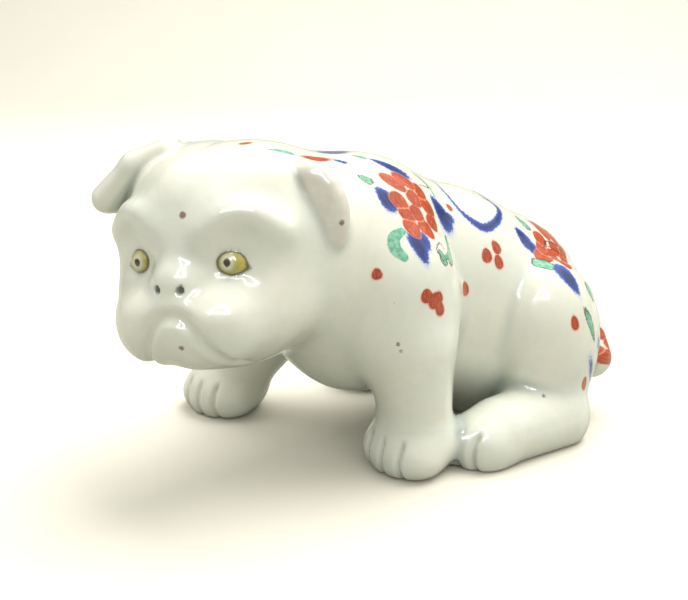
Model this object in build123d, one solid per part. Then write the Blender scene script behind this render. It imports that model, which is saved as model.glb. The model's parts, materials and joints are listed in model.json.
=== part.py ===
from build123d import *
import math
import os

# A hollow porcelain dog, sitting on its haunches with its head turned to its left.
# It is cast and pressed in separate pieces, which are joined with slip before firing.
# Frame: +Z up, -Y is the way its body faces, +X is its left side.
# Origin: on the resting plane, in the middle of the flat sole below the rump.

# Driving dimensions, in millimetres and degrees
FIGURE_LENGTH = 150.0       # from the rump to the muzzle; every place below is drawn for this length
WALL = 4.0                  # thickness of the cast walls
SOLE = 5.0                  # thickness of the wall that the rump sits on
VENT_DIAMETER = 9.0         # hole that lets steam out of the body in the kiln
NECK_BORE = 16.0            # passage between the hollows of the body and the head
HEAD_TURN = 38.0            # turn of the head to the dog's left
HEAD_TILT = 5.0             # rise of the head's left side
TOE_LINE = 1.2              # width of the lines that part the toes
NOSTRIL = 1.8               # diameter of a nostril
NOSTRIL_DEPTH = 2.5         # depth that a nostril is pricked to

UNIT = FIGURE_LENGTH / 150.0
FAR = 400.0                 # size of a cutting block, well beyond the figure
TOE_CUTTER = 40.0           # length of a cutter between two toes, taller than the paw

# Every mass is a tapered form with a ball at each end:
# (start centre, end centre, start radius, end radius), with centres as (left, forward, up).
NECK = ((0, 66, 58), (0, 52, 56), 25, 27)
CHEST = ((0, 49, 54.5), (0, 49, 44), 29, 28)
BELLY = ((0, 40, 50), (0, 12, 38), 28.3, 27)
RUMP = ((0, 2, 31), (0, 0, 25), 29, 29.3)
VENT_PLACE = (0, -8, 0)

# The masses of the head are drawn in the head's own frame, from its centre.
HEAD_CENTRE = (2.5, 88.5, 59)
SKULL = ((-4, -3, 4), (4, -3, 4), 26, 26)
CHEEK = ((8, 4, -9), (13, 7, -10), 17, 14.5)
LIP = ((8, 20, -9.3), (10, 20, -10.5), 9.5, 9.3)
CHIN = ((-0.5, 19.8, -12), (2, 19.8, -12), 9.8, 9.8)
BROW = ((7, 13, 13), (16, 11.5, 12), 8.3, 7.3)
NOSE = ((-1, 22.4, 0.6), (1, 22.4, 0.6), 5.6, 5.6)
EYE = ((11.6, 18.8, 4.3), (16.2, 17.2, 3.6), 3.7, 2)
NOSTRIL_PLACE = (3, 28, -0.2)
LEFT_EAR = ((25, -2, 20), (29.5, -2, 6.5), 4.6, 3.6)
LEFT_EAR_LOBE = ((27, -4.5, 18), (30.8, -3.5, 9), 3.8, 3.4)
RIGHT_EAR = ((-19, 2.5, 25.6), (-30.2, 5, 17.2), 4.1, 3.9)
RIGHT_EAR_FLAP = ((-19, -0.8, 24.8), (-28.8, 1, 16.4), 3.9, 3.8)
RIGHT_EAR_LOBE = ((-19, -4, 23.5), (-27, -3, 16), 3.6, 3.6)

LEFT_FRONT_LEG = ((20, 46, 48), (25, 44, 12), 14.5, 10.5)
LEFT_FRONT_PAW = ((24.3, 45, 7.5), (25.8, 50.4, 6), 11.4, 9.9)
RIGHT_FRONT_LEG = ((-18, 50, 46), (-36, 70, 12), 14, 10.2)
RIGHT_FRONT_PAW = ((-37.1, 71.8, 7.5), (-35.4, 76.8, 6), 11.5, 9.8)
FRONT_TOE_LINES = (-5.5, 0.2, 5.7)

# Hind leg, drawn for the left side
THIGH = ((21, -2, 36), (23, -2, 20), 16, 16.5)
SHANK = ((30.5, -1.5, 9), (32, 20, 8), 10.5, 9.3)
HIND_FOOT = ((32, 20, 7.8), (33.5, 28.5, 6.5), 9.6, 8.6)
HIND_TOE_LINES = (-4.4, 0.2, 4.8)
THIGH_INSIDE = 12           # distance from the centre line to the inside of the thigh

TAIL = ((13.5, -22.8, 34), (22, -22.3, 17.5), 5, 6.4)


def place_of(point):
    """A point given as (left, forward, up), in the figure's frame at its real size."""
    left, forward, up = point
    return Vector(left, -forward, up) * UNIT


def tapered(mass, shrink=0.0):
    """A round form with a ball at each end and a tangent cone between them."""
    start, end = place_of(mass[0]), place_of(mass[1])
    start_radius, end_radius = mass[2] * UNIT - shrink, mass[3] * UNIT - shrink
    length = (end - start).length
    lean = math.asin((start_radius - end_radius) / length)

    def on_ball(radius, angle, height):
        return (radius * math.cos(angle), height + radius * math.sin(angle))

    start_pole, end_pole = (0, -start_radius), (0, length + end_radius)
    start_tangent = on_ball(start_radius, lean, 0)
    end_tangent = on_ball(end_radius, lean, length)
    outline = [
        ThreePointArc(start_pole, on_ball(start_radius, (lean - math.pi / 2) / 2, 0), start_tangent),
        Line(start_tangent, end_tangent),
        ThreePointArc(end_tangent, on_ball(end_radius, (lean + math.pi / 2) / 2, length), end_pole),
        Line(end_pole, start_pole),
    ]
    half = make_face([Plane.XZ * edge for edge in outline])
    return Plane(origin=start, z_dir=end - start) * revolve(half, Axis.Z)


def mirrored(mass):
    """The same mass on the other side of the centre line."""
    (left, forward, up), (end_left, end_forward, end_up), start_radius, end_radius = mass
    return ((-left, forward, up), (-end_left, end_forward, end_up), start_radius, end_radius)


def joined(masses, shrink=0.0):
    """Several masses run together into one."""
    forms = [tapered(mass, shrink) for mass in masses]
    return forms[0] + forms[1:] if len(forms) > 1 else forms[0]


def on_left(shape):
    """What is left of a shape on the left side of the dog, clear of the space below its belly."""
    block = Box(FAR, FAR, FAR, align=(Align.MAX, Align.CENTER, Align.CENTER))
    return shape - Pos(THIGH_INSIDE * UNIT, 0, 0) * block


def above(height, shape):
    """What is left of a shape above a level plane."""
    block = Box(FAR, FAR, FAR, align=(Align.CENTER, Align.CENTER, Align.MAX))
    return shape - Pos(0, 0, height) * block


def head_place():
    return Pos(*place_of(HEAD_CENTRE)) * Rot(0, 0, HEAD_TURN) * Rot(0, -HEAD_TILT, 0)


def torso_form(shrink=0.0):
    return joined([NECK, CHEST, BELLY, RUMP], shrink)


def head_form():
    masses = [SKULL, CHIN, NOSE]
    for mass in (CHEEK, LIP, BROW):
        masses += [mass, mirrored(mass)]
    return head_place() * joined(masses)


def head_hollow():
    return head_place() * joined([SKULL, CHEEK, mirrored(CHEEK)], WALL)


def neck_bore():
    """A straight passage from the hollow of the body to the hollow of the head."""
    start, end = place_of(CHEST[1]), place_of(HEAD_CENTRE)
    along = Plane(origin=start, z_dir=end - start)
    return along * Cylinder(NECK_BORE / 2, (end - start).length, align=(Align.CENTER, Align.CENTER, Align.MIN))


def eye(side):
    mass = EYE if side > 0 else mirrored(EYE)
    return head_place() * tapered(mass)


def nostrils():
    x, y, z = place_of(NOSTRIL_PLACE)
    drill = Rot(90, 0, 0) * Cylinder(NOSTRIL / 2, 2 * NOSTRIL_DEPTH)
    return head_place() * (Pos(x, y, z) * drill + Pos(-x, y, z) * drill)


def body_shell(torso):
    hollow = above(SOLE, torso_form(WALL))
    vent = Pos(*place_of(VENT_PLACE)) * Cylinder(VENT_DIAMETER / 2, 2 * (SOLE + WALL))
    return torso - (hollow + neck_bore() + vent)


def head_shell(head, torso, eyes):
    shell = head - torso - head_hollow()
    for eyeball in eyes:
        shell -= eyeball
    return shell - nostrils()


def ear(masses, head, torso):
    return head_place() * joined(masses) - head - torso


def toe_lines(paw, offsets):
    """Upright cutters between the toes at the front of a paw."""
    heel, toe = place_of(paw[0]), place_of(paw[1])
    ahead = Vector(toe.X - heel.X, toe.Y - heel.Y, 0).normalized()
    across = Vector(-ahead.Y, ahead.X, 0)
    reach = paw[3] * UNIT
    cutters = []
    for offset_across in offsets:
        depth = math.sqrt(reach**2 - (offset_across * UNIT) ** 2)
        spot = Vector(toe.X, toe.Y, 0) + ahead * depth + across * (offset_across * UNIT)
        cutters.append(Pos(*spot) * Cylinder(TOE_LINE / 2, TOE_CUTTER))
    return cutters


def front_leg(leg, paw, torso, head):
    form = joined([leg, paw])
    for cutter in toe_lines(paw, FRONT_TOE_LINES):
        form -= cutter
    return above(0, form) - torso - head


def hind_leg(torso):
    form = joined([THIGH, SHANK, HIND_FOOT])
    for cutter in toe_lines(HIND_FOOT, HIND_TOE_LINES):
        form -= cutter
    return above(0, on_left(form)) - torso


def tail(torso):
    return tapered(TAIL) - torso


def main():
    torso = above(0, torso_form())
    head = head_form()
    left_eye, right_eye = eye(1), eye(-1)
    left_hind = hind_leg(torso)
    pieces = {
        "body_shell": body_shell(torso),
        "head_shell": head_shell(head, torso, (left_eye, right_eye)),
        "left_ear": ear([LEFT_EAR, LEFT_EAR_LOBE], head, torso),
        "right_ear": ear([RIGHT_EAR, RIGHT_EAR_FLAP, RIGHT_EAR_LOBE], head, torso),
        "left_eye": left_eye,
        "right_eye": right_eye,
        "left_front_leg": front_leg(LEFT_FRONT_LEG, LEFT_FRONT_PAW, torso, head) - left_hind,
        "right_front_leg": front_leg(RIGHT_FRONT_LEG, RIGHT_FRONT_PAW, torso, head),
        "left_hind_leg": left_hind,
        "right_hind_leg": mirror(left_hind, about=Plane.YZ),
        "tail": tail(torso) - left_hind,
    }
    os.makedirs("parts", exist_ok=True)
    for name, piece in pieces.items():
        piece.label = name
        export_step(piece, f"parts/{name}.step")


main()
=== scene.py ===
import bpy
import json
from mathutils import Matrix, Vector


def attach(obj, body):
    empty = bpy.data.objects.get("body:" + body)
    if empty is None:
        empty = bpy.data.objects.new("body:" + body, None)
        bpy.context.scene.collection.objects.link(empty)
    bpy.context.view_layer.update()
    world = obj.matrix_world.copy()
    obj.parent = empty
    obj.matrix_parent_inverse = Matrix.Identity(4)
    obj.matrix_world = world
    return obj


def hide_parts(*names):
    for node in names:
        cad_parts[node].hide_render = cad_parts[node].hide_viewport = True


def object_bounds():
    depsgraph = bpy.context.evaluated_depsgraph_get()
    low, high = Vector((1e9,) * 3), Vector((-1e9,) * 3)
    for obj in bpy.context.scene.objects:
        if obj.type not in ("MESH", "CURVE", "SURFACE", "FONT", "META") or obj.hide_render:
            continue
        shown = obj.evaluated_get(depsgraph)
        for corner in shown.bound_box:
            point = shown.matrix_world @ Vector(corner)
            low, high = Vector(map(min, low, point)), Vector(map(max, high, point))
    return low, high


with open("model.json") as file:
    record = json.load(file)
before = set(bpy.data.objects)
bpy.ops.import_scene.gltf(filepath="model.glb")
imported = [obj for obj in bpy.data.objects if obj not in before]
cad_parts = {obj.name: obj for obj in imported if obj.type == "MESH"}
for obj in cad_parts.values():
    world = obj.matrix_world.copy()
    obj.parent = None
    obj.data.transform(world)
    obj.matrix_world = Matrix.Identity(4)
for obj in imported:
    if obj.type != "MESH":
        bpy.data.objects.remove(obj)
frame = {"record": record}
CAD_BOX = [list(corner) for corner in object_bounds()]

import json
import math
from functools import partial
from itertools import combinations

import bpy
import numpy as np
from mathutils import Matrix, Vector

# A glazed porcelain dog, drawn in millimetres in the dog's own directions (left, forward, up).
# Each form is a distance field: negative inside, positive outside. One skin is made over all of
# them, and is then parted along the joints between the castings, so neighbours share their edges.

DRAWN_LENGTH = 148.38  # length of the dog in the drawing, from rump to muzzle
UNIT = (CAD_BOX[1][1] - CAD_BOX[0][1]) / DRAWN_LENGTH
STEP = 0.6  # spacing of the points of the skin
F32 = np.float32


# ---- forms
def leaned(degrees):
    """A rotation matrix about the forward direction."""
    lean = np.radians(degrees)
    return np.array([[np.cos(lean), 0, np.sin(lean)], [0, 1, 0], [-np.sin(lean), 0, np.cos(lean)]])


def smoothed(values, steps=4):
    """More values along a smooth curve through the given ones."""
    values = np.array(values, float)
    ends = np.concatenate([2 * values[:1] - values[1:2], values, 2 * values[-1:] - values[-2:-1]])
    curve = []
    for before, start, end, after in zip(ends[:-3], ends[1:-2], ends[2:-1], ends[3:]):
        slope = (end - before) / 2
        bend = before - 2.5 * start + 2 * end - after / 2
        twist = 1.5 * (start - end) + (after - before) / 2
        for t in np.arange(steps) / steps:
            curve.append(start + t * slope + t * t * bend + t ** 3 * twist)
    return curve + [values[-1]]


class Place:
    """A local set of directions. A turn looks to the dog's left, and a tilt raises the left side."""

    def __init__(self, origin, turn=0.0, tilt=0.0):
        turn, tilt = np.radians([turn, tilt])
        forward = np.array([np.sin(turn), np.cos(turn), 0.0])
        left = np.array([np.cos(turn), -np.sin(turn), 0.0])
        up = np.array([0.0, 0.0, 1.0])
        left, up = left * np.cos(tilt) + up * np.sin(tilt), up * np.cos(tilt) - left * np.sin(tilt)
        self.origin = np.array(origin, float)
        self.axes = np.array([left, forward, up])

    def local(self, points):
        """Points of the dog in the local directions."""
        return (points - self.origin.astype(F32)) @ self.axes.T.astype(F32)


def ellipsoid(p, centre, radii, turned=None):
    """A ball stretched to three radii. Its distances are close near the skin."""
    q = p - np.array(centre, F32)
    if turned is not None:
        q = q @ turned.astype(F32)
    scaled = q / np.array(radii, F32)
    reach = np.sqrt((scaled * scaled).sum(-1))
    slope = scaled / np.array(radii, F32)
    return reach * (reach - 1.0) / (np.sqrt((slope * slope).sum(-1)) + 1e-9)


def cone(p, start, end, start_radius, end_radius):
    """A cone between two balls."""
    start, end = np.array(start, F32), np.array(end, F32)
    axis = end - start
    length2 = float(axis @ axis)
    taper = start_radius - end_radius
    slant2 = length2 - taper * taper
    inverse = 1.0 / length2
    q = p - start
    y = q @ axis
    z = y - length2
    x2 = ((q * length2 - y[:, None] * axis) ** 2).sum(-1)
    y2, z2 = y * y * length2, z * z * length2
    k = np.sign(taper) * taper * taper * x2
    d = (np.sqrt(np.maximum(x2 * slant2 * inverse, 0)) + y * taper) * inverse - start_radius
    past_end = np.sign(z) * slant2 * z2 > k
    before_start = (np.sign(y) * slant2 * y2 < k) & ~past_end
    d = np.where(past_end, np.sqrt(x2 + z2) * inverse - end_radius, d)
    return np.where(before_start, np.sqrt(x2 + y2) * inverse - start_radius, d)


def strand(p, points, radius):
    """A rod that follows several points."""
    d = np.full(len(p), 1e9, F32)
    for a, b in zip(points[:-1], points[1:]):
        a, b = np.array(a, F32), np.array(b, F32)
        ab = b - a
        t = np.clip(((p - a) @ ab) / float(ab @ ab), 0, 1)
        d = np.minimum(d, np.sqrt(((p - a - t[:, None] * ab) ** 2).sum(-1)))
    return d - radius


def join(a, b, softness):
    """Both forms as one, with a fillet between them."""
    h = np.maximum(softness - np.abs(a - b), 0.0) / softness
    return np.minimum(a, b) - h * h * h * softness / 6.0


def carve(a, b, softness):
    """The first form with the second cut away, and a rounded edge between them."""
    return -join(-a, b, softness)


def press(d, distance, width, depth, where):
    """A soft line pressed into a form, where `distance` is the distance from the line."""
    return d + depth * np.exp(-((distance / width) ** 2)) * where


def fade(value, start, end):
    """Goes smoothly from 0 at start to 1 at end."""
    t = np.clip((value - start) / (end - start), 0, 1)
    return t * t * (3 - 2 * t)


def both_sides(p):
    """Points brought to the left side, for forms that are the same on both sides."""
    q = p.copy()
    q[:, 0] = np.abs(q[:, 0])
    return q


# ---- sculpture
HEAD = Place((2.5, 88.5, 59.0), turn=38, tilt=5)


def torso(p):
    d = ellipsoid(p, (-1, 49, 48.5), (27.5, 26, 33.7))
    d = join(d, ellipsoid(p, (0, 20, 39.5), (24.5, 31, 31)), 12)
    d = join(d, ellipsoid(p, (0, -0.5, 28), (28.5, 29, 32.5)), 10)
    d = join(d, ellipsoid(p, (1, 64, 57), (25, 24, 27)), 12)
    return join(d, cone(p, (0, 42, 60), (0, 26, 54), 19, 17), 10)


TOE_LINE_WIDTH = 0.8
TOE_LINE_DEPTH = 0.8


def toes(d, q, offsets, front):
    """Lines pressed between the toes of a paw, from its front to the top of the toes."""
    low = 1 - fade(q[:, 2], 9.0, 12.5)
    where = fade(q[:, 1], front - 1.5, front + 1.5) * low
    for offset in offsets:
        d = press(d, np.abs(q[:, 0] - offset), TOE_LINE_WIDTH, TOE_LINE_DEPTH, where)
    return d


def front_leg(p, shoulder, elbow, wrist, paw, turn):
    """A leg from its shoulder to a paw that is turned to the left."""
    d = ellipsoid(p, shoulder, (13, 17, 22))
    d = join(d, cone(p, elbow, wrist, 11.5, 10.0), 8)
    q = Place(paw, turn).local(p)
    d = join(d, ellipsoid(q, (0, 0.2, 7), (12.5, 12, 9.5)), 6)
    d = join(d, ellipsoid(q, (0, 4.6, 5), (12.6, 8.8, 7.3)), 4)
    return toes(d, q, (-5.5, 0.0, 5.5), 5)


LEFT_FRONT_LEG = dict(
    shoulder=(20, 46, 44), elbow=(24, 45, 34), wrist=(25, 44, 12), paw=(24.8, 44.2, 0), turn=14,
)
RIGHT_FRONT_LEG = dict(
    shoulder=(-20, 51, 44), elbow=(-26.6, 60, 30), wrist=(-36, 70, 12), paw=(-37.1, 72.3, 0), turn=22,
)


def hind_leg(p, side):
    """A thigh, and a foot laid forward along the ground. The side is 1 for left and -1 for right."""
    q = p.copy()
    q[:, 0] *= side
    d = ellipsoid(q, (23.5, -2, 27), (15, 16.5, 24.5))
    d = join(d, cone(q, (30.5, -0.3, 6.5), (32.5, 20, 6.8), 11.0, 10), 7)
    r = Place((32.8, 26.5, 0), 8).local(q)
    d = join(d, ellipsoid(r, (0, 0, 5), (10, 10, 9.5)), 4)
    return toes(d, r, (-4.2, 0.2, 4.6), 4)


def tail(p):
    """A short stump, laid on the left of the rump."""
    return cone(p, (13.5, -22.8, 34), (22, -22.3, 17.5), 5.0, 6.4)


MOUTH = (0.8, -6.0)  # (left, up) of the top of the arch between the lips
MOUTH_DROOP = 0.07  # the arch falls by this times the distance across to the power MOUTH_BEND
MOUTH_BEND = 2.2
LIP_LINE_WIDTH = 1.7
LIP_LINE_DEPTH = 1.4
# (out, forward, up) along the ridge of each brow
BROW = [(7.5, 18.2, 11.5), (11.5, 17.0, 15.2), (17, 14.8, 15.4), (22.5, 10.8, 10.5)]
NOSE = (0.0, 0.6)  # (left, up) of the middle of the nose
NOSTRIL_HOLE = [(3.0, 30, -0.3), (3.0, 27.0, 0.0)]  # (out, forward, up) from outside to its end


def mouth(d, q):
    """The drooping arch between the lips."""
    across = np.abs(q[:, 0] - MOUTH[0])
    arch = MOUTH[1] - MOUTH_DROOP * across ** MOUTH_BEND
    slope = MOUTH_DROOP * MOUTH_BEND * across ** (MOUTH_BEND - 1)
    distance = (q[:, 2] - arch) / np.sqrt(1 + slope * slope)
    where = fade(q[:, 1], 14, 20) * (1 - fade(across, 10.5, 14))
    return press(d, distance, LIP_LINE_WIDTH, LIP_LINE_DEPTH, where)


def head(p):
    q = HEAD.local(p)
    m = both_sides(q)
    # the skull, its crown, the jaws and the muzzle
    d = ellipsoid(q, (0, -3, 4), (28.5, 26, 25))
    d = join(d, ellipsoid(m, (8, -4, 20.5), (14, 16, 8.5)), 8)
    d = join(d, ellipsoid(q, (0, 5, -8), (26, 22, 18)), 9)
    d = join(d, ellipsoid(q, (0, 13, -8), (19.5, 17.5, 13)), 8)
    # the bridge of the nose, the brows and the hollows that the eyes sit in
    d = join(d, cone(q, (0, 7.5, 15), (0, 14.0, 4), 12, 9), 9)
    d = join(d, strand(m, smoothed(BROW, 3), 1.8), 9)
    d = carve(d, ellipsoid(m, (15.5, 30.4, 5), (10.5, 11, 9)), 9)
    # the drooping lips, the chin and the line between them
    d = join(d, ellipsoid(m, (9.5, 20, -9.8), (9.5, 9.5, 9)), 6)
    d = join(d, ellipsoid(q, (-9.5, 19.5, -12.5), (9, 9.5, 8.5)), 4)
    d = join(d, ellipsoid(q, (MOUTH[0], 18.0, -12), (9.2, 12, 9.8)), 4)
    d = mouth(d, q)
    # the nose, with a nostril pricked on each side
    d = join(d, ellipsoid(q, (NOSE[0], 21.6, NOSE[1]), (6.6, 6.4, 5.4)), 4)
    n = both_sides(q - np.array((NOSE[0], 0, 0), F32))
    return carve(d, strand(n, NOSTRIL_HOLE, 0.8), 0.9)


def right_ear(p):
    """It stands out to the side, with its rolled edge on top."""
    q = HEAD.local(p)
    d = cone(q, (-12.5, 1, 27.8), (-21, 3, 24.9), 3.9, 4.0)
    d = join(d, cone(q, (-21, 3, 24.9), (-30.2, 5, 17.2), 4.0, 3.9), 3)
    d = join(d, cone(q, (-16, -1, 26.0), (-28.6, 0.8, 16.2), 3.7, 3.7), 4)
    return join(d, cone(q, (-12, -5, 27), (-27, -3, 16), 3.2, 3.5), 5)


def left_ear(p):
    """It hangs, with a rolled edge above and outside, and a hollow face."""
    q = HEAD.local(p)
    d = ellipsoid(q, (27.5, -2, 13.2), (6.0, 3.6, 11.2), leaned(-14))
    turns = [math.radians(angle) for angle in range(120, -60, -20)]
    rim = [(23.5 + 8.3 * math.cos(turn), -1.8, 12.5 + 9.5 * math.sin(turn)) for turn in turns]
    return join(d, strand(q, rim, 2.4), 3)


def eye(p, side):
    """A raised eyeball that runs out to a point. The side is 1 for left and -1 for right."""
    q = HEAD.local(p)
    q[:, 0] *= side
    d = ellipsoid(q, (11.7, 17.9, 4.2), (4.0, 3.1, 3.2))
    return join(d, cone(q, (12.6, 17.8, 4.0), (16.7, 16.6, 2.5), 2.4, 0.8), 1.2)


# name, form and softness of the joint where it is luted on
PIECES = [
    ("body_shell", torso, 0),
    ("left_hind_leg", partial(hind_leg, side=1), 4),
    ("right_hind_leg", partial(hind_leg, side=-1), 4),
    ("left_front_leg", partial(front_leg, **LEFT_FRONT_LEG), 7),
    ("right_front_leg", partial(front_leg, **RIGHT_FRONT_LEG), 7),
    ("head_shell", head, 12),
    ("left_ear", left_ear, 2),
    ("right_ear", right_ear, 2),
    ("tail", tail, 7),
    ("left_eye", partial(eye, side=1), 0.5),
    ("right_eye", partial(eye, side=-1), 0.5),
]
VENT_PLACE = (0, -8)  # (left, forward) of the hole in the sole
VENT_RADIUS = 4.5
VENT_DEPTH = 7.0
VENT_EDGE = 1.2  # softness of the hole's edge
FOOT_EDGE = 1.5  # softness of the edge where the dog is cut off at the table


def figure(p):
    """The whole dog: all its pieces joined, cut off level at the table, with the vent in its sole."""
    d = PIECES[0][1](p)
    for _, form, softness in PIECES[1:]:
        d = join(d, form(p), softness)
    d = carve(d, p[:, 2], FOOT_EDGE)
    vent = [(*VENT_PLACE, 0), (*VENT_PLACE, VENT_DEPTH - VENT_RADIUS)]
    return carve(d, strand(p, vent, VENT_RADIUS), VENT_EDGE)


# ---- skin
LOW = (-60, -42, -3)  # the space that holds the whole dog: (left, forward, up)
HIGH = (60, 128, 98)
BLOCK = 8  # points along a block; the field is sampled only near the skin
BATCH = 600  # blocks that are sampled together
POLISH_ROUNDS = 2
SEAM_ROUNDS = 3


def sampled(field, step):
    """The field on a grid, exact near the skin and only its sign elsewhere."""
    low, high = np.array(LOW, float), np.array(HIGH, float)
    blocks = (np.ceil((high - low) / step).astype(int) + BLOCK) // BLOCK
    corner = np.indices(tuple(blocks)).reshape(3, -1).T
    centre = (low + (corner * BLOCK + (BLOCK - 1) / 2) * step).astype(F32)
    distance = field(centre)
    near = np.abs(distance) < BLOCK * step * 1.5 + 1
    sign = np.where(distance < 0, -9.0, 9.0).astype(F32).reshape(tuple(blocks))
    values = sign.repeat(BLOCK, 0).repeat(BLOCK, 1).repeat(BLOCK, 2)
    offset = np.indices((BLOCK, BLOCK, BLOCK)).reshape(3, -1).T
    close = corner[near]
    for start in range(0, len(close), BATCH):
        index = (close[start:start + BATCH, None, :] * BLOCK + offset[None]).reshape(-1, 3)
        values[tuple(index.T)] = field((low + index * step).astype(F32))
    return values


def net(values, step):
    """Points and four-sided faces of the zero surface, with one point in each cell that it crosses."""
    inside = values < 0
    nx, ny, nz = values.shape
    corners = list(np.ndindex(2, 2, 2))
    count = sum(inside[a:nx - 1 + a, b:ny - 1 + b, c:nz - 1 + c].astype(np.uint8) for a, b, c in corners)
    cells = np.argwhere((count > 0) & (count < 8))
    number = np.full(count.shape, -1, np.int64)
    number[tuple(cells.T)] = np.arange(len(cells))
    total, crossings = np.zeros((len(cells), 3)), np.zeros(len(cells))
    for first, second in combinations(np.array(corners), 2):
        if abs(first - second).sum() != 1:
            continue
        a, b = values[tuple((cells + first).T)], values[tuple((cells + second).T)]
        crossed = (a < 0) != (b < 0)
        share = np.where(crossed, a / np.where(crossed, a - b, 1), 0)
        total += np.where(crossed[:, None], first + share[:, None] * (second - first), 0)
        crossings += crossed
    points = np.array(LOW) + (cells + total / crossings[:, None]) * step
    faces = []
    for axis in range(3):
        ahead, first, second = np.roll(np.eye(3, dtype=int), -axis, axis=0)
        base = inside[:nx - ahead[0], :ny - ahead[1], :nz - ahead[2]]
        beyond = inside[ahead[0]:, ahead[1]:, ahead[2]:]
        edges = np.argwhere(base != beyond)
        edges = edges[(edges[:, (axis + 1) % 3] > 0) & (edges[:, (axis + 2) % 3] > 0)]
        around = (first + second, second, np.zeros(3, int), first)
        ring = np.stack([number[tuple((edges - shift).T)] for shift in around], 1)
        faces.append(np.where(base[tuple(edges.T)][:, None], ring[:, ::-1], ring))
    return points, np.concatenate(faces)


def gradient(field, points, reach=0.05):
    """The direction and rate at which a field grows at each point."""
    slopes = np.zeros_like(points)
    for axis in range(3):
        shift = np.zeros(3)
        shift[axis] = reach
        slopes[:, axis] = field((points + shift).astype(F32)) - field((points - shift).astype(F32))
    return slopes / (2 * reach)


def unit(vectors):
    return vectors / (np.linalg.norm(vectors, axis=1, keepdims=True) + 1e-9)


def moved(points, move, limit):
    """Points moved, each by no more than the limit."""
    size = np.linalg.norm(move, axis=1, keepdims=True)
    return points + move * np.minimum(1, limit / np.maximum(size, 1e-9))


def polished(field, points, step):
    """Each point moved on to the zero surface."""
    for _ in range(POLISH_ROUNDS):
        slope = gradient(field, points)
        length2 = np.maximum((slope * slope).sum(1), 0.2)
        points = moved(points, -slope * (field(points.astype(F32)) / length2)[:, None], 0.6 * step)
    return points


# ---- pieces
def owners(points):
    """For each point, the number of the piece whose form is nearest."""
    distances = np.stack([form(points.astype(F32)) for _, form, _ in PIECES], 1)
    return distances.argmin(1)


def groups(pairs, count):
    """A number for each point, equal for points that are linked by pairs."""
    label = np.arange(count)
    while True:
        before = label.copy()
        lowest = label[pairs].min(1)
        np.minimum.at(label, pairs[:, 0], lowest)
        np.minimum.at(label, pairs[:, 1], lowest)
        label = label[label]
        if (label == before).all():
            return label


def largest_patches(faces, owner, count):
    """Stray patches of a piece are given to the body, so that each piece has one patch of skin."""
    for piece in range(1, len(PIECES)):
        mine = np.flatnonzero(owner == piece)
        pairs = np.concatenate([faces[mine][:, (k, k + 1)] for k in range(3)])
        label = groups(pairs, count)[faces[mine, 0]]
        names, sizes = np.unique(label, return_counts=True)
        owner[mine[label != names[sizes.argmax()]]] = 0
    return owner


def seam_points(points, first, second, step):
    """Points moved along the skin to where two pieces are equally near."""
    first_form, second_form = PIECES[first][1], PIECES[second][1]
    for _ in range(SEAM_ROUNDS):
        p = points.astype(F32)
        gap = first_form(p) - second_form(p)
        across = gradient(first_form, points) - gradient(second_form, points)
        normal = unit(gradient(figure, points))
        across -= (across * normal).sum(1, keepdims=True) * normal
        length2 = np.maximum((across * across).sum(1), 0.05)
        points = moved(points, -across * (gap / length2)[:, None], 0.4 * step)
    return points


def seams_snapped(points, faces, owner):
    """Points between exactly two pieces, moved on to the line where both are equally near."""
    lowest, highest = np.full(len(points), len(PIECES)), np.full(len(points), -1)
    for k in range(4):
        np.minimum.at(lowest, faces[:, k], owner)
        np.maximum.at(highest, faces[:, k], owner)
    points = points.copy()
    for first, second in combinations(range(len(PIECES)), 2):
        index = np.flatnonzero((lowest == first) & (highest == second))
        if len(index):
            points[index] = seam_points(points[index], first, second, STEP)
    return points


CAP_RINGS = 3  # rings of faces from a seam to the middle of a joint


def seam_sides(faces, owner, count):
    """The sides of faces that lie between two pieces, as (start, end), and the piece of each."""
    start, end = faces.ravel(), np.roll(faces, -1, 1).ravel()
    face_owner = np.repeat(owner, 4)
    key = np.minimum(start, end) * count + np.maximum(start, end)
    order = np.argsort(key, kind="stable")
    same = key[order][:-1] == key[order][1:]
    split = same & (face_owner[order][:-1] != face_owner[order][1:])
    seam = np.unique(np.concatenate([order[:-1][split], order[1:][split]]))
    return np.stack([start[seam], end[seam]], 1), face_owner[seam]


def parted(points, faces, owner):
    """The closed mesh of each piece: its patch of skin, and a cone inside from its seams to one shared
    point per joint, so that two neighbours have the same faces where they touch."""
    sides, side_owner = seam_sides(faces, owner, len(points))
    joint = groups(sides, len(points))
    on_seam = np.unique(sides)
    apex = {name: points[on_seam[joint[on_seam] == name]].mean(0) for name in np.unique(joint[on_seam])}
    pieces = []
    for piece in range(len(PIECES)):
        mine, my_sides = faces[owner == piece], sides[side_owner == piece]
        used, rim = np.unique(mine), np.unique(my_sides)
        number = np.full(len(points), -1)
        number[used] = np.arange(len(used))
        corners = list(points[used])
        polygons = number[mine].tolist()
        place = {(v, 0): number[v] for v in rim}
        for ring in range(1, CAP_RINGS):
            for v in rim:
                place[v, ring] = len(corners)
                corners.append(points[v] + (apex[joint[v]] - points[v]) * ring / CAP_RINGS)
        tip = {}
        for name in np.unique(joint[rim]):
            tip[name] = len(corners)
            corners.append(apex[name])
        for a, b in my_sides:
            for ring in range(CAP_RINGS - 1):
                polygons.append([place[b, ring], place[a, ring], place[a, ring + 1], place[b, ring + 1]])
            polygons.append([place[b, CAP_RINGS - 1], place[a, CAP_RINGS - 1], tip[joint[a]]])
        pieces.append((np.array(corners), polygons, used, len(mine)))
    return pieces


def metres(points):
    """From (left, forward, up) in drawn millimetres to the frame's own directions."""
    return np.stack([points[:, 0], -points[:, 1], points[:, 2]], 1) * UNIT


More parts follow.
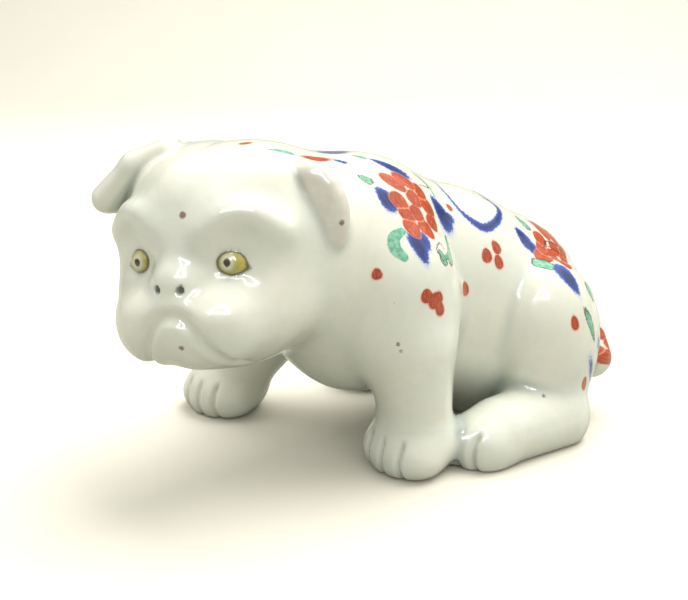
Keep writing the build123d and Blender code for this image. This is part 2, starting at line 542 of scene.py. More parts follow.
def smooth_mesh(name, corners, polygons):
    mesh = bpy.data.meshes.new(name)
    mesh.from_pydata(corners, [], polygons)
    mesh.polygons.foreach_set("use_smooth", [True] * len(polygons))
    return mesh


def linked(name, data):
    """A new object in the scene."""
    thing = bpy.data.objects.new(name, data)
    bpy.context.scene.collection.objects.link(thing)
    return thing


def piece_mesh(name, corners, polygons, used, skin_faces, normals, paint):
    """A mesh that carries the paint, shaded by the skin's own outward directions."""
    mesh = smooth_mesh(name, metres(corners).tolist(), polygons)
    for key, values in paint.items():
        kind = "FLOAT_VECTOR" if values.ndim == 2 else "FLOAT"
        layer = mesh.attributes.new(key, kind, "POINT")
        full = np.full((len(corners),) + values.shape[1:], FAR_FROM_PAINT, np.float32)
        full[:len(used)] = values[used]
        layer.data.foreach_set("vector" if values.ndim == 2 else "value", full.ravel())
    loops = np.zeros(len(mesh.loops), np.int32)
    mesh.loops.foreach_get("vertex_index", loops)
    facing = np.zeros((len(loops), 3))
    on_skin_loops = slice(0, skin_faces * 4)
    facing[on_skin_loops] = normals[used][loops[on_skin_loops]] * (1, -1, 1)
    mesh.normals_split_custom_set(facing.tolist())
    return mesh


# ---- painting
# The painter's places on the back are given as (along, down) in millimetres: along the spine from
# the shoulders to the tail, and down from the spine to the dog's left. Right is minus.
SPINE_MIDDLE = (40.0, -5.0)  # (forward, up) of the middle of the arch that the spine follows
SPINE_RADIUS = 51.0
ALONG_RADIUS = 80.0  # millimetres along for each radian of the arch
DOWN_RADIUS = 29.0  # millimetres down for each radian round the body
FAR_FROM_PAINT = 9.0  # distance that stands for no paint near
MARGIN = 3.0  # how far past a painted shape its distance is worked out
FACING = 0.15  # a brush only reaches skin that faces it by this cosine or more
STREAK_SHIFT = 7.3  # keeps the streaks of one brush stroke apart from those of the next
WIDE_REACH = 3.0  # distances off the skin at which hollows and grooves are felt
FINE_REACH = 0.9
FACE_FORWARD = 12  # the head forward of this is the face


def on_skin(along, down):
    """The point of the skin at a painter's place, and its outward direction."""
    bend, roll = along / ALONG_RADIUS, down / DOWN_RADIUS
    forward, up = SPINE_MIDDLE
    core = np.array([0, forward - SPINE_RADIUS * math.sin(bend), up + SPINE_RADIUS * math.cos(bend)])
    out = np.array([math.sin(roll), -math.cos(roll) * math.sin(bend), math.cos(roll) * math.cos(bend)])
    ray = core + np.linspace(2, 60, 600)[:, None] * out
    point = ray[(figure(ray.astype(F32)) > 0).argmax()]
    return point, unit(gradient(figure, point[None]))[0]


# One bloom: the middle of each petal (rearward, upward), its half length, half width and angle
PETALS = [
    (-4.6, 6.3, 4.3, 1.9, -46), (-0.2, 6.6, 4.3, 1.8, -43), (3.6, 3.0, 3.4, 1.8, -77),
    (-5.6, 0.4, 3.4, 2.2, -58), (0.0, 1.2, 2.9, 2.1, -60), (4.4, -1.0, 3.3, 2.0, -58),
    (-4.6, -3.4, 3.2, 2.0, -62), (-0.8, -3.4, 3.0, 2.0, -65), (4.4, -5.6, 2.7, 2.0, -77),
    (-4.6, -7.2, 3.2, 2.2, -75), (0.4, -7.8, 3.2, 2.2, -64),
]


class Canvas:
    """Signed distances in millimetres from each point of the skin to the painted shapes."""

    def __init__(self, points, normals):
        self.points, self.normals = points, normals
        names = ("blue", "red", "green", "line", "crease")
        self.layers = {name: np.full(len(points), FAR_FROM_PAINT) for name in names}
        self.brush = np.zeros((len(points), 3))
        self.outlined = np.zeros(len(points))
        self.count = 0

    def near(self, centre, out, reach):
        """The points within reach of a place that face its outward direction."""
        offset = self.points - centre
        close = (offset * offset).sum(1) < reach * reach
        return np.flatnonzero(close & (self.normals @ out > FACING))

    def put(self, name, index, distance, brush=None):
        """Add a shape to a layer. The brush holds each point's place in the brush stroke."""
        layer = self.layers[name]
        if brush is not None:
            first = distance < layer[index]
            self.brush[index[first]] = brush[first] + (0, 0, STREAK_SHIFT * self.count)
            self.count += 1
        layer[index] = np.minimum(layer[index], distance)

    def stroke(self, name, places, widths):
        """A brush line through several places, with a half width at each."""
        found = [on_skin(*place) for place in smoothed(places)]
        widths = smoothed(widths)
        for (a, na), (b, nb), wa, wb in zip(found[:-1], found[1:], widths[:-1], widths[1:]):
            length = np.linalg.norm(b - a)
            index = self.near((a + b) / 2, (na + nb) / 2, length / 2 + wa + wb + MARGIN)
            q = self.points[index] - a
            t = np.clip(q @ (b - a) / length ** 2, 0, 1)
            distance = np.linalg.norm(q - t[:, None] * (b - a), axis=1) - (wa + (wb - wa) * t)
            self.put(name, index, distance)

    def flat(self, place, reach, rear=np.array([0, -1.0, 0])):
        """Points near a place, as (rearward, upward) on the flat that touches the skin there."""
        centre, out = on_skin(*place)
        rear = rear - (rear @ out) * out
        rear /= np.linalg.norm(rear)
        upward = np.cross(rear, out)
        index = self.near(centre, out, reach)
        q = self.points[index] - centre
        return index, q @ rear, q @ upward

    def lobes(self, name, place, shapes):
        """Several strokes of a full brush: (rearward, upward, half length, half width, angle)."""
        reach = max(math.hypot(s[0], s[1]) + s[2] for s in shapes)
        index, u, v = self.flat(place, reach + MARGIN)
        distances = []
        best = np.full(len(index), FAR_FROM_PAINT)
        brush = np.zeros((len(index), 3))
        for cu, cv, half_length, half_width, angle in shapes:
            c, s = math.cos(math.radians(angle)), math.sin(math.radians(angle))
            x = (u - cu) * c + (v - cv) * s
            y = (v - cv) * c - (u - cu) * s
            taper = half_width * (1 - 0.2 * x / half_length)
            size = np.sqrt((x / half_length) ** 2 + (y / taper) ** 2)
            distance = (size - 1) * min(half_length, half_width)
            distances.append(distance)
            nearer = distance < best
            best = np.where(nearer, distance, best)
            brush[nearer] = np.stack([x, y, np.zeros_like(x)], 1)[nearer]
        self.put(name, index, best, brush)
        if len(distances) > 1:
            nearest, second = np.sort(np.stack(distances), 0)[:2]
            self.put("crease", index, second - nearest)

    def leaves(self, name, *shapes, line=False):
        """Leaves from one place to another, broad near the start: (start, end, width) of each."""
        for start, end, width in shapes:
            (a, _), (b, _) = on_skin(*start), on_skin(*end)
            middle = ((start[0] + end[0]) / 2, (start[1] + end[1]) / 2)
            half = np.linalg.norm(b - a) / 2
            index, u, v = self.flat(middle, half + MARGIN, b - a)
            taper = width / 2 * (1 - 0.3 * u / half)
            size = np.sqrt((u / half) ** 2 + (v / taper) ** 2)
            distance = (size - 1) * width / 2
            self.put(name, index, distance, np.stack([u, v, np.zeros_like(u)], 1))
            if line:
                self.outlined[index] = np.maximum(self.outlined[index], distance < 1)

    def flower(self, place, size, slant=0.0):
        """A bloom of full petals laid side by side, seen half from the side."""
        c, s = math.cos(math.radians(slant)), math.sin(math.radians(slant))
        shapes = []
        for across, upward, half_length, half_width, angle in PETALS:
            place_and_size = (across * c - upward * s, across * s + upward * c, half_length, half_width)
            shapes.append((*[value * size for value in place_and_size], angle + slant))
        self.lobes("red", place, shapes)

    def dots(self, *shapes):
        """Red dots, each given as (place, half length, half width, angle)."""
        for place, *shape in shapes:
            self.lobes("red", place, [(0, 0, *shape)])


def shoulder_spray(c):
    """The large spray on the left shoulder."""
    c.flower((-1, 18), 1.0)
    c.leaves(
        "blue",
        ((1, 11), (-7, 5), 3.6), ((-9, 20), (-12, 14), 5.0), ((12, 24), (7, 14), 4.6),
        ((14, 21), (10, 18), 3.0), ((-7, 25), (-6, 34), 4.6), ((-4, 26), (-3, 31), 3.0),
    )
    c.leaves("green", ((-8, 5), (-11, 3), 1.8))
    c.leaves("green", ((-12, 13), (-15, 11), 2.4), line=True)
    c.stroke("green", [(-10, 25), (-13.5, 26), (-14.5, 28.5), (-13, 31)], [1.1, 1.7, 1.7, 1.2])
    c.leaves("green", ((3, 35), (1, 31), 2.6), ((6, 35), (9, 30), 2.6), line=True)
    c.stroke("green", [(9, 26), (8, 31), (4, 33)], [0.5, 0.8, 0.6])
    c.stroke("line", [(2, 34), (0, 31), (3, 29), (5, 31)], [0.3, 0.3, 0.3, 0.25])
    c.stroke("green", [(5, 7), (8, 10), (9, 14)], [0.3, 0.45, 0.3])
    c.stroke("line", [(4, 7), (8, 11), (4, 12)], [0.25, 0.3, 0.25])
    c.dots(
        ((14, 16), 1.2, 0.85, 120), ((-23, 32), 1.5, 1.4, 90), ((-9, 41), 1.9, 1.8, 90),
        ((-6, 42.5), 2.3, 1.6, 60), ((-3.8, 44.6), 2.1, 1.5, 100), ((-3.0, 42), 1.5, 0.9, 100),
        ((18, 42), 2.0, 1.5, 90), ((27, 30), 2.1, 1.7, 90), ((31, 26.5), 2.1, 1.5, 110),
        ((32.5, 31), 2.1, 1.5, 100),
    )


def ribbon(c):
    """A tied blue ribbon that crosses the spine."""
    near = [(14, 2), (15, 9), (18, 16), (24, 20.5), (28, 20.5), (33, 16.5), (36, 11), (34, 8), (30, 4)]
    wide = [0.25, 0.35, 0.55, 1.2, 1.35, 1.2, 0.9, 0.6, 0.4]
    c.stroke("blue", near, wide)
    c.stroke("line", [(20, 1), (25, 5), (31, 7.5), (33, 8)], [0.25, 0.25, 0.3, 0.3])
    far = [(14, 2), (17, -6), (21, -13), (27, -17), (33, -15), (36, -9), (34, -3), (30, 4)]
    c.stroke("blue", far, [0.25, 0.4, 0.8, 1.3, 1.3, 0.9, 0.5, 0.4])


def rump_spray(c):
    """The spray above the left thigh."""
    c.flower((57, 18.5), 1.0, -40)
    c.stroke("line", [(52, 20), (54, 16), (60, 15), (66, 15)], [0.3, 0.35, 0.3, 0.25])
    c.stroke("line", [(54, 18), (59, 18), (64, 18)], [0.25, 0.3, 0.25])
    c.leaves(
        "blue",
        ((47, 22), (41, 16), 4.2), ((49, 23), (45, 19), 3.4), ((50, 28), (58, 34), 4.4),
        ((55, 10), (50, 8), 2.4),
    )
    c.leaves(
        "green",
        ((48, 14), (44, 9), 2.4), ((47, 26), (50, 30), 3.8), ((62, 29), (67, 32), 2.6),
        line=True,
    )
    c.leaves("blue", ((69, 30), (78, 32), 2.8))
    c.dots(((61.5, 40), 2.1, 1.25, 95))
    c.leaves("green", ((63, 36), (75, 39), 2.2), line=True)
    c.dots(((89, 45.5), 2.1, 1.2, 95))


def tail_spray(c):
    """The bloom beside the tail."""
    c.flower((87, 31), 0.95, 20)
    c.leaves("blue", ((78, 37), (90, 38), 3.0), ((80, 42), (92, 43), 1.8))
    c.leaves("green", ((88, 40), (99, 38), 2.2), line=True)


def nape_spray(c):
    """Loose leaves and petals on the back of the head and the neck."""
    c.dots(((-35, 4), 1.8, 0.9, 0))
    c.leaves("green", ((-28, 8), (-33, 7), 1.6))
    c.leaves("red", ((-19, 6), (-27, 8), 1.8))
    c.leaves("blue", ((-10, 0), (-20, 3), 3.4), ((-15, 7), (-18, 6), 1.4))
    c.leaves("red", ((-22, -2), (-14, -8), 3.0))
    c.leaves("green", ((-24, -3), (-28, -8), 2.2))


def right_side(c):
    """The painter repeats the sprays on the right, a little differently."""
    c.flower((0, -20), 0.95, 70)
    c.leaves(
        "blue",
        ((8, -14), (14, -9), 4.0), ((-8, -15), (-14, -11), 4.2), ((8, -26), (13, -33), 4.4),
        ((-8, -25), (-13, -30), 4.0),
    )
    c.leaves("green", ((2, -31), (-2, -37), 3.4), ((14, -18), (19, -17), 2.6), line=True)
    c.dots(
        ((20, -30), 1.8, 1.3, 90), ((23, -34), 1.8, 1.2, 90), ((19, -35), 1.7, 1.2, 90),
        ((-20, -36), 1.6, 1.4, 90),
    )
    c.flower((58, -20), 0.85, 110)
    c.leaves("blue", ((49, -14), (43, -10), 4.0), ((67, -25), (74, -31), 4.2), ((50, -27), (45, -33), 4.0))
    c.leaves("green", ((60, -30), (60, -37), 3.4), ((67, -13), (73, -9), 2.6), line=True)
    c.dots(
        ((52, -41), 1.9, 1.3, 90), ((56, -44), 1.8, 1.2, 90), ((51, -46), 1.8, 1.2, 90),
        ((80, -40), 1.9, 1.2, 90), ((84, -12), 1.8, 1.3, 90),
    )


# (left, up) of the left and the right pupil in the head's own directions
PUPILS = [(12.2, 4.9), (-12.5, 4.5)]
NOSTRIL = (3.0, -0.8)  # (out, up) of each nostril's shade from the middle of the nose
# Specks of iron: (left, forward, up) in the dog's directions, and radius
SPECKS = [
    ((16.1, 104.7, 75.4), 0.75), ((24.4, 109.8, 46.0), 0.5), ((28.2, 68.9, 71.8), 0.55),
    ((31.9, 54.5, 39.0), 0.4), ((32.3, 53.9, 37.2), 0.3), ((36.3, 8.4, 16.4), 0.4),
]


def closed_in(points, normals, reach):
    """From 0 on open skin to 1 where other skin is close in front of it."""
    return np.clip(1 - figure((points + normals * reach).astype(F32)) / reach, 0, 1)


def pupil_distance(q):
    """Distance from the middle of the nearer pupil, on the face only."""
    distances = [np.hypot(q[:, 0] - left, (q[:, 2] - up) * 0.9) for left, up in PUPILS]
    return np.where(q[:, 1] > FACE_FORWARD, np.min(distances, axis=0), FAR_FROM_PAINT)


def nostril_distance(q):
    """Distance from the middle of the nearer nostril, on the face only."""
    out = np.abs(q[:, 0] - NOSE[0]) - NOSTRIL[0]
    distance = np.hypot(out, q[:, 2] - NOSE[1] - NOSTRIL[1])
    return np.where(q[:, 1] > FACE_FORWARD, distance, FAR_FROM_PAINT)


def speck_distance(p):
    """Distance from the edge of the nearest speck."""
    distances = [np.linalg.norm(p - np.array(centre, F32), axis=1) - radius for centre, radius in SPECKS]
    return np.minimum(np.min(distances, axis=0), FAR_FROM_PAINT)


def painted(points, normals):
    """Every value that the materials need, for each point of the skin."""
    canvas = Canvas(points, normals)
    for spray in (shoulder_spray, ribbon, rump_spray, tail_spray, nape_spray, right_side):
        spray(canvas)
    p = points.astype(F32)
    q = HEAD.local(p)
    paint = {
        **canvas.layers,
        "brush": canvas.brush,
        "outlined": canvas.outlined,
        # how closed in each point is, which sets the painted shade in hollows and fine grooves
        "hollow": closed_in(points, normals, WIDE_REACH),
        "groove": closed_in(points, normals, FINE_REACH),
        "lid": np.minimum(eye(p, 1), eye(p, -1)),
        "dome": head(p),
        "pupil": pupil_distance(q),
        "outer": np.abs(q[:, 0]),
        "nostril": nostril_distance(q),
        "speck": speck_distance(p),
        "ear": left_ear(p),
    }
    return {key: values.astype(np.float32) for key, values in paint.items()}


# ---- materials
class Nodes:
    """A short way to write the node tree of a material or of the world."""

    def __init__(self, owner, shader="Principled BSDF"):
        owner.use_nodes = True
        self.owner = owner
        self.tree = owner.node_tree
        self.shader = self.tree.nodes[shader]

    def new(self, kind, inputs, **settings):
        """A node with its inputs set to values or wired to other nodes."""
        node = self.tree.nodes.new(kind)
        for key, value in settings.items():
            setattr(node, key, value)
        for key, value in inputs.items():
            self.wire(node.inputs[key], value)
        return node

    def shade(self, inputs):
        """Set the inputs of the shader."""
        for key, value in inputs.items():
            self.wire(self.shader.inputs[key], value)

    def wire(self, socket, value):
        if isinstance(value, bpy.types.NodeSocket):
            self.tree.links.new(value, socket)
        elif isinstance(value, tuple) and len(value) == 3 and len(socket.default_value) == 4:
            socket.default_value = (*value, 1)
        else:
            socket.default_value = value

    def value(self, name, output="Fac"):
        """What each point of the mesh carries: a number, or as the output Vector three of them."""
        return self.new("ShaderNodeAttribute", {}, attribute_name=name).outputs[output]

    def looked_at(self):
        """1 where the camera sees the surface directly."""
        return self.new("ShaderNodeLightPath", {}).outputs["Is Camera Ray"]

    def place(self):
        return self.new("ShaderNodeTexCoord", {}).outputs["Object"]

    def scaled(self, vector, scale):
        return self.new("ShaderNodeMapping", {"Vector": vector, "Scale": scale}).outputs["Vector"]

    def noise(self, vector, scale, detail=2.0, roughness=0.5):
        inputs = {"Vector": vector, "Scale": scale, "Detail": detail, "Roughness": roughness}
        return self.new("ShaderNodeTexNoise", inputs).outputs["Fac"]

    def combined(self, operation, a, b):
        return self.new("ShaderNodeMath", {0: a, 1: b}, operation=operation).outputs[0]

    def plus(self, a, b):
        return self.combined("ADD", a, b)

    def times(self, a, b):
        return self.combined("MULTIPLY", a, b)

    def band(self, value, start, end, low=0.0, high=1.0):
        """A smooth step from low at start to high at end."""
        inputs = {"Value": value, "From Min": start, "From Max": end, "To Min": low, "To Max": high}
        return self.new("ShaderNodeMapRange", inputs, interpolation_type="SMOOTHSTEP").outputs["Result"]

    def mix(self, share, a, b):
        """Colour a covered by colour b, by a share from 0 to 1."""
        return self.new("ShaderNodeMix", {0: share, 6: a, 7: b}, data_type="RGBA").outputs[2]

    def bump(self, height, distance, strength=1.0, under=None):
        inputs = {"Height": height, "Distance": distance, "Strength": strength}
        if under is not None:
            inputs["Normal"] = under
        return self.new("ShaderNodeBump", inputs).outputs["Normal"]


MM = 1000.0  # noise scales are written per millimetre and used per metre
PORCELAIN = (0.78, 0.78, 0.68)
PORCELAIN_COOL = (0.74, 0.76, 0.68)
POOLED_GLAZE_AND_SHADE = (0.47, 0.53, 0.46)  # where the glaze runs thick, and painted shade in hollows
# painted shade in fine grooves such as the toe lines, with the glaze pooled in them
GROOVE_POOL_AND_SHADE = (0.33, 0.38, 0.36)
BLUE_DARK = (0.018, 0.030, 0.13)
BLUE = (0.035, 0.075, 0.34)
BLUE_BLED = (0.40, 0.50, 0.72)
RED = (0.58, 0.082, 0.016)
RED_DARK = (0.30, 0.028, 0.012)
RED_THIN = (0.80, 0.29, 0.12)
GREEN = (0.045, 0.33, 0.19)
GREEN_THIN = (0.17, 0.50, 0.36)
LINE = (0.035, 0.022, 0.015)
SPECK = (0.16, 0.05, 0.025)
NOSTRIL_SHADE = (0.10, 0.085, 0.075)
LID_LINE = (0.10, 0.075, 0.035)
BISQUE = (0.62, 0.55, 0.44)  # bare fired clay
BLUSH = (0.68, 0.60, 0.55)
EYE_YELLOW = ((0.36, 0.33, 0.07), (0.47, 0.43, 0.11))
EYE_CORNER = (0.60, 0.46, 0.04)
# cream round each pupil: white iris paint, and partly a painted highlight
EYE_WHITE_AND_HIGHLIGHT = (0.66, 0.65, 0.47)
EYE_PUPIL = (0.05, 0.035, 0.02)
EYE_RIM = (0.11, 0.085, 0.03)


def edge(n, distance, wobble, soft):
    """How much of a painted shape covers a point: 1 inside, with an uneven soft edge."""
    return n.band(n.plus(distance, wobble), -soft, soft, 1.0, 0.0)


class Glaze(Nodes):
    """The noises that the porcelain and its paints share."""

    def __init__(self):
        super().__init__(bpy.data.materials.new("porcelain_glaze"))
        self.position = self.place()
        self.mottle = self.noise(self.position, 0.35 * MM, 4)
        self.grain = self.noise(self.position, 1.8 * MM, 3)
        self.fine = self.noise(self.position, 5.0 * MM, 2)
        self.wash = self.noise(self.position, 0.9 * MM, 2)
        self.streak = self.noise(self.scaled(self.value("brush", "Vector"), (0.25, 2.2, 1.0)), 1.0, 3, 0.6)
        self.unsteady = self.band(self.fine, 0.25, 0.75, -0.12, 0.12)


def white_body(n):
    """Cool white porcelain, greener where the glaze pools, darkened by painted shade in hollows and
    grooves, with a blush on the ear.
    """
    cloud = n.noise(n.position, 0.045 * MM, 3)
    colour = n.mix(n.band(cloud, 0.38, 0.66), PORCELAIN, PORCELAIN_COOL)
    colour = n.mix(n.band(n.mottle, 0.35, 0.75, 0.0, 0.08), colour, POOLED_GLAZE_AND_SHADE)
    # painted shade in the hollows, where the glaze also pools thick
    colour = n.mix(n.band(n.value("hollow"), 0.08, 0.65, 0.0, 0.55), colour, POOLED_GLAZE_AND_SHADE)
    # painted shade in the fine grooves
    colour = n.mix(n.band(n.value("groove"), 0.06, 0.5, 0.0, 0.6), colour, GROOVE_POOL_AND_SHADE)
    blush = n.band(n.value("ear"), 0.6, 0.0, 0.0, 0.5)
    return n.mix(n.times(blush, n.band(n.mottle, 0.2, 0.6)), colour, BLUSH)


def scattered_specks(n, colour):
    """A few iron specks and pinholes in the glaze."""
    cells = n.new("ShaderNodeTexVoronoi", {"Vector": n.position, "Scale": 0.075 * MM})
    chosen = n.band(cells.outputs["Color"], 0.62, 0.64)
    spot = n.band(cells.outputs["Distance"], 0.020, 0.034, 1.0, 0.0)
    return n.mix(n.times(n.times(spot, chosen), 0.8), colour, SPECK)


def underglaze_blue(n, colour):
    """Blue that sinks into the glaze and bleeds a little."""
    blue = n.value("blue")
    wobble = n.band(n.grain, 0.25, 0.75, -0.24, 0.24)
    bled = edge(n, n.plus(blue, -0.35), wobble, 0.75)
    colour = n.mix(n.times(bled, 0.75), colour, BLUE_BLED)
    thickness = n.plus(n.band(blue, 0.0, -1.6), n.band(n.streak, 0.2, 0.8, -0.55, 0.45))
    paint = n.mix(n.band(thickness, 0.0, 1.0), BLUE, BLUE_DARK)
    return n.mix(edge(n, blue, wobble, 0.28), colour, paint)


def red_enamel(n, colour):
    """Red laid over the glaze petal by petal, thin in the creases between them."""
    red = n.value("red")
    paint = n.mix(n.band(n.streak, 0.30, 0.72), RED_DARK, RED)
    paint = n.mix(n.band(n.wash, 0.5, 0.8, 0.0, 0.35), paint, RED_THIN)
    paint = n.mix(n.band(n.plus(red, n.unsteady), -0.45, -0.05, 0.0, 0.6), paint, RED_DARK)
    crease = n.plus(n.value("crease"), n.band(n.fine, 0.2, 0.8, -0.10, 0.10))
    paint = n.mix(n.band(crease, 0.10, 0.45, 0.8, 0.0), paint, RED_THIN)
    colour = n.mix(n.band(red, 0.05, 0.5, 0.5, 0.0), colour, RED_THIN)
    cover = edge(n, red, n.unsteady, 0.10)
    return n.mix(n.times(cover, 0.97), colour, paint), cover


def green_enamel(n, colour):
    """Green thin enough to show the white below."""
    depth = n.plus(n.wash, n.band(n.streak, 0, 1, -0.15, 0.15))
    paint = n.mix(n.band(depth, 0.38, 0.66), GREEN, GREEN_THIN)
    cover = edge(n, n.value("green"), n.unsteady, 0.12)
    return n.mix(n.times(cover, 0.88), colour, paint), cover


def drawn_lines(n, colour):
    """Dark lines, drawn alone and round the outlined leaves."""
    from_edge = n.combined("ABSOLUTE", n.value("green"), 0.0)
    plain = n.combined("SUBTRACT", 1.0, n.value("outlined"))
    outline = n.plus(n.plus(from_edge, n.times(plain, FAR_FROM_PAINT)), -0.16)
    drawn = n.combined("MINIMUM", outline, n.value("line"))
    line = edge(n, drawn, n.band(n.grain, 0.3, 0.7, -0.10, 0.16), 0.10)
    return n.mix(n.times(line, 0.8), colour, LINE)


def small_marks(n, colour):
    """The placed specks, the nostrils and the dark line round each eye."""
    speck = n.plus(n.value("speck"), n.band(n.fine, 0.25, 0.75, -0.2, 0.2))
    colour = n.mix(n.band(speck, -0.1, 0.4, 0.85, 0.0), colour, SPECK)
    colour = n.mix(n.band(n.value("nostril"), 0.35, 1.2, 0.62, 0.0), colour, NOSTRIL_SHADE)
    lid = n.plus(n.value("lid"), n.unsteady)
    return n.mix(n.band(lid, 0.06, 0.42, 0.75, 0.0), colour, LID_LINE)


def bare_foot(n):
    """How bare the clay is: 1 in the ring where each part stands, which is wiped clean of glaze."""
    height = n.new("ShaderNodeSeparateXYZ", {"Vector": n.position}).outputs["Z"]
    uneven = n.plus(n.times(height, MM), n.band(n.mottle, 0.3, 0.7, -0.3, 0.3))
    return n.band(uneven, 0.15, 0.75, 1.0, 0.0)


def porcelain():
    """White porcelain, painted in blue under its clear glaze and in red and green over it."""
    n = Glaze()
    colour = underglaze_blue(n, scattered_specks(n, white_body(n)))
    colour, red_cover = red_enamel(n, colour)
    colour, green_cover = green_enamel(n, colour)
    colour = small_marks(n, drawn_lines(n, colour))
    bare = bare_foot(n)
    glaze_roughness = n.band(n.mottle, 0.3, 0.7, 0.16, 0.24)
    orange_peel = n.bump(n.noise(n.position, 0.16 * MM, 2), 0.00035, 0.45)
    grainy = n.bump(n.grain, 0.00004, 0.35, orange_peel)
    enamel = n.combined("MAXIMUM", red_cover, green_cover)
    n.shade({
        "Base Color": n.mix(bare, colour, BISQUE),
        "Normal": n.bump(enamel, 0.00008, 0.6, grainy),
        "Roughness": n.combined("MAXIMUM", glaze_roughness, n.times(bare, 0.8)),
        "Coat Weight": n.band(bare, 0.2, 0.8, 0.8, 0.0),
        "Coat Roughness": 0.045,
        "Coat Normal": orange_peel,
        "Subsurface Weight": 0.12,
        "Subsurface Scale": 0.0015,
    })
    return n.owner


def enamel_eye():
    """Glossy yellow enamel with a white iris that is partly a painted highlight, a small pupil and a dark
    rim.
    """
    n = Nodes(bpy.data.materials.new("eye_enamel"))
    grain = n.noise(n.place(), 1.6 * MM, 3)
    wobble = n.band(grain, 0.25, 0.75, -0.08, 0.08)
    pupil = n.plus(n.value("pupil"), wobble)
    rim = n.plus(n.value("dome"), wobble)
    colour = n.mix(n.band(grain, 0.3, 0.7), *EYE_YELLOW)
    colour = n.mix(n.band(n.value("outer"), 13.5, 16.5, 0.0, 0.7), colour, EYE_CORNER)
    # cream round the pupil: white iris paint, and partly a painted highlight
    colour = n.mix(n.band(pupil, 2.3, 1.1), colour, EYE_WHITE_AND_HIGHLIGHT)
    colour = n.mix(n.band(pupil, 1.05, 0.7), colour, EYE_PUPIL)
    colour = n.mix(n.band(rim, 0.75, 0.2, 0.0, 0.9), colour, EYE_RIM)
    n.shade({
        "Base Color": colour,
        "Normal": n.bump(grain, 0.00003, 0.3),
        "Roughness": n.band(grain, 0.3, 0.7, 0.12, 0.2),
        "Coat Weight": 1.0,
        "Coat Roughness": 0.04,
    })
    return n.owner


# ---- the dog
def build_dog():
    """One painted skin over all the forms, parted into a closed piece for each casting."""
    points, faces = net(sampled(figure, STEP), STEP)
    points = polished(figure, points, STEP)
    owner = largest_patches(faces, owners(points[faces].mean(1)), len(points))
    points = seams_snapped(points, faces, owner)
    normals = unit(gradient(figure, points))
    paint = painted(points, normals)
    materials = {"porcelain_glaze": porcelain(), "eye_enamel": enamel_eye()}
    slots = {row["node"]: row["material_slot"] for row in frame["record"]["subparts"]}
    for (name, _, _), mesh_parts in zip(PIECES, parted(points, faces, owner)):
        mesh = piece_mesh(name + "_skin", *mesh_parts, normals, paint)
        mesh.materials.append(materials[slots[name]])
        piece = linked(name + "_glazed", mesh)
        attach(piece, "root")
        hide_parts(name)


# ---- table, light and camera
VIEW_TURN = math.radians(60)  # the camera stands to the dog's left front
VIEW_RISE = math.radians(18)
CAMERA_PLACE = (0.2320, -0.1860, 0.1286)
SENSOR = 36.0  # width of the sensor and focal length, in millimetres
LENS = 52.33

PAPER = ((0.745, 0.72, 0.64), (0.73, 0.705, 0.625))
PAPER_BOUNCE = (0.36, 0.36, 0.31)  # its colour in the light that it throws back on the dog
PAPER_FRONT = -1.5  # distances along the view from the middle of the sole, in metres
PAPER_BEND = 0.75  # where it starts to curve up
PAPER_BEND_RADIUS = 0.5
PAPER_BEND_FACES = 12
PAPER_TOP = 1.2
PAPER_HALF_WIDTH = 2.5

DAYLIGHT = (1.0, 0.985, 0.93)
FILL_LIGHT = (1.0, 1.0, 0.97)
ROOM_COLOUR = (1.0, 0.99, 0.93)
ROOM_BRIGHTNESS = {"From Min": -0.1, "From Max": 0.9, "To Min": 0.20, "To Max": 1.05}
ROOM_SEEN = 0.92  # brightness of the room where the camera sees it directly
FRAME_WIDTH = 0.016  # width of each side of the bright frame, in metres


def paper_material():
    n = Nodes(bpy.data.materials.new("paper"))
    place = n.place()
    seen = n.mix(n.band(n.noise(place, 6.0, 3), 0.3, 0.7), *PAPER)
    n.shade({
        "Base Color": n.mix(n.looked_at(), PAPER_BOUNCE, seen),
        "Normal": n.bump(n.noise(place, 900.0, 2), 0.0001, 0.2),
        "Roughness": 0.75,
    })
    return n.owner


def stage_floor():
    """A pale sheet that curves up behind the dog."""
    profile = [(PAPER_FRONT, 0.0)]
    for turn in np.linspace(0, math.pi / 2, PAPER_BEND_FACES + 1):
        reach = PAPER_BEND + PAPER_BEND_RADIUS * math.sin(turn)
        profile.append((reach, PAPER_BEND_RADIUS * (1 - math.cos(turn))))
    profile.append((PAPER_BEND + PAPER_BEND_RADIUS, PAPER_TOP))
    away = Vector((-math.sin(VIEW_TURN), math.cos(VIEW_TURN), 0))
    side = Vector((math.cos(VIEW_TURN), math.sin(VIEW_TURN), 0))
    corners = []
    for reach, height in profile:
        for sign in (-1, 1):
            corners.append(away * reach + side * PAPER_HALF_WIDTH * sign + Vector((0, 0, height)))
    polygons = [(2 * k, 2 * k + 1, 2 * k + 3, 2 * k + 2) for k in range(len(profile) - 1)]
    mesh = smooth_mesh("paper", corners, polygons)
    mesh.materials.append(paper_material())
    linked("paper", mesh)


def room_light():
    """Pale light from all round, stronger from above. Seen directly, the room is plain."""
    world = bpy.data.worlds.new("room")
    bpy.context.scene.world = world
    n = Nodes(world, "Background")
    direction = n.new("ShaderNodeTexCoord", {}).outputs["Generated"]
    height = n.new("ShaderNodeSeparateXYZ", {"Vector": direction}).outputs["Z"]
    rise = n.new("ShaderNodeMapRange", {"Value": height, **ROOM_BRIGHTNESS}).outputs["Result"]
    brightness = n.new("ShaderNodeMix", {"Factor": n.looked_at(), "A": rise, "B": ROOM_SEEN})
    n.shade({"Color": ROOM_COLOUR, "Strength": brightness.outputs["Result"]})


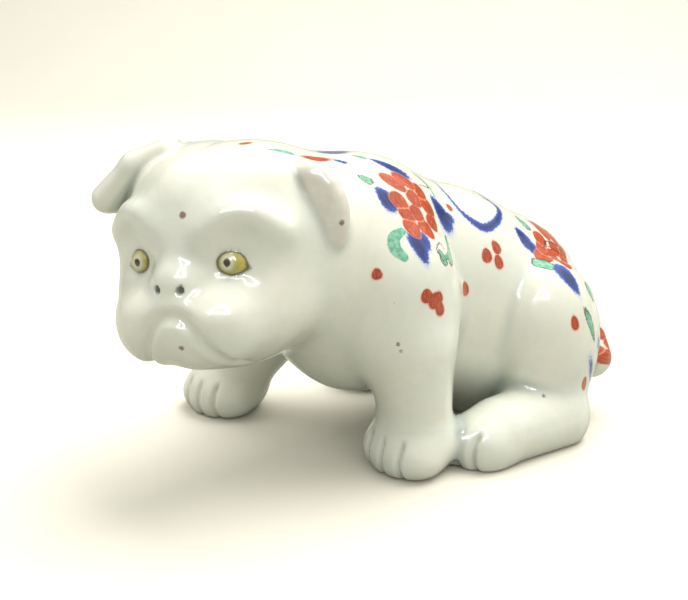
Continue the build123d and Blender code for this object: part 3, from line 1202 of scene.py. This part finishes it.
def lamp(name, place, aim, size, power, colour, mirrored=False, spread=True, along=(0, 0, 0)):
    """A rectangular lamp facing its aim, with its long side along the given way. A mirrored lamp
    shows in the glaze, and a spread one lights things."""
    light = bpy.data.lights.new(name, "AREA")
    light.shape = "RECTANGLE"
    light.size, light.size_y = size
    light.energy = power
    light.color = colour
    holder = linked(name, light)
    holder.location = place
    holder.visible_glossy = mirrored
    holder.visible_diffuse = spread
    holder.rotation_mode = "QUATERNION"
    facing = Vector(place) - Vector(aim)
    if Vector(along).length == 0:
        holder.rotation_quaternion = facing.to_track_quat("Z", "Y")
    else:
        across = facing.cross(along).normalized()
        turned = Matrix((across.cross(facing).normalized(), across, facing.normalized())).transposed()
        holder.rotation_quaternion = turned.to_quaternion()


def soft_lamps():
    lamp("window", (-0.10, 0.42, 1.0), (0, 0, 0.03), (1.1, 0.9), 18.5, DAYLIGHT)
    lamp("fill", (-0.28, -0.45, 0.55), (0, -0.05, 0.06), (0.4, 0.4), 1.35, FILL_LIGHT)
    lamp("side fill", (0.55, 0.05, 0.28), (0, -0.03, 0.04), (0.4, 0.4), 0.46, FILL_LIGHT)


def bright_frame():
    """A thin frame of light that the glaze mirrors as small hooks and loops."""
    low_left = Vector((0.25, -0.56, 0.50))
    low_right = Vector((0.52, -0.21, 0.52))
    top = Vector((0.24, -0.23, 0.71))
    sides = [
        ("low left edge", low_left, low_right, 1.2),
        ("low right edge", low_right, top, 1.2),
        ("top edge", top, low_left, 0.5),
    ]
    for name, start, end, power in sides:
        size = ((end - start).length, FRAME_WIDTH)
        middle, aim = (start + end) / 2, (0, -0.05, 0.05)
        lamp(name, middle, aim, size, power, (1, 1, 1), mirrored=True, spread=False, along=end - start)


def set_camera():
    camera = bpy.data.cameras.new("camera")
    camera.sensor_width, camera.lens = SENSOR, LENS
    camera.clip_start, camera.clip_end = 0.01, 20
    holder = linked("camera", camera)
    back = Vector((
        math.sin(VIEW_TURN) * math.cos(VIEW_RISE),
        -math.cos(VIEW_TURN) * math.cos(VIEW_RISE),
        math.sin(VIEW_RISE),
    ))
    holder.location = CAMERA_PLACE
    holder.rotation_mode = "QUATERNION"
    holder.rotation_quaternion = back.to_track_quat("Z", "Y")
    bpy.context.scene.camera = holder


build_dog()
stage_floor()
room_light()
soft_lamps()
bright_frame()
set_camera()
bpy.context.scene.view_settings.view_transform = "Standard"
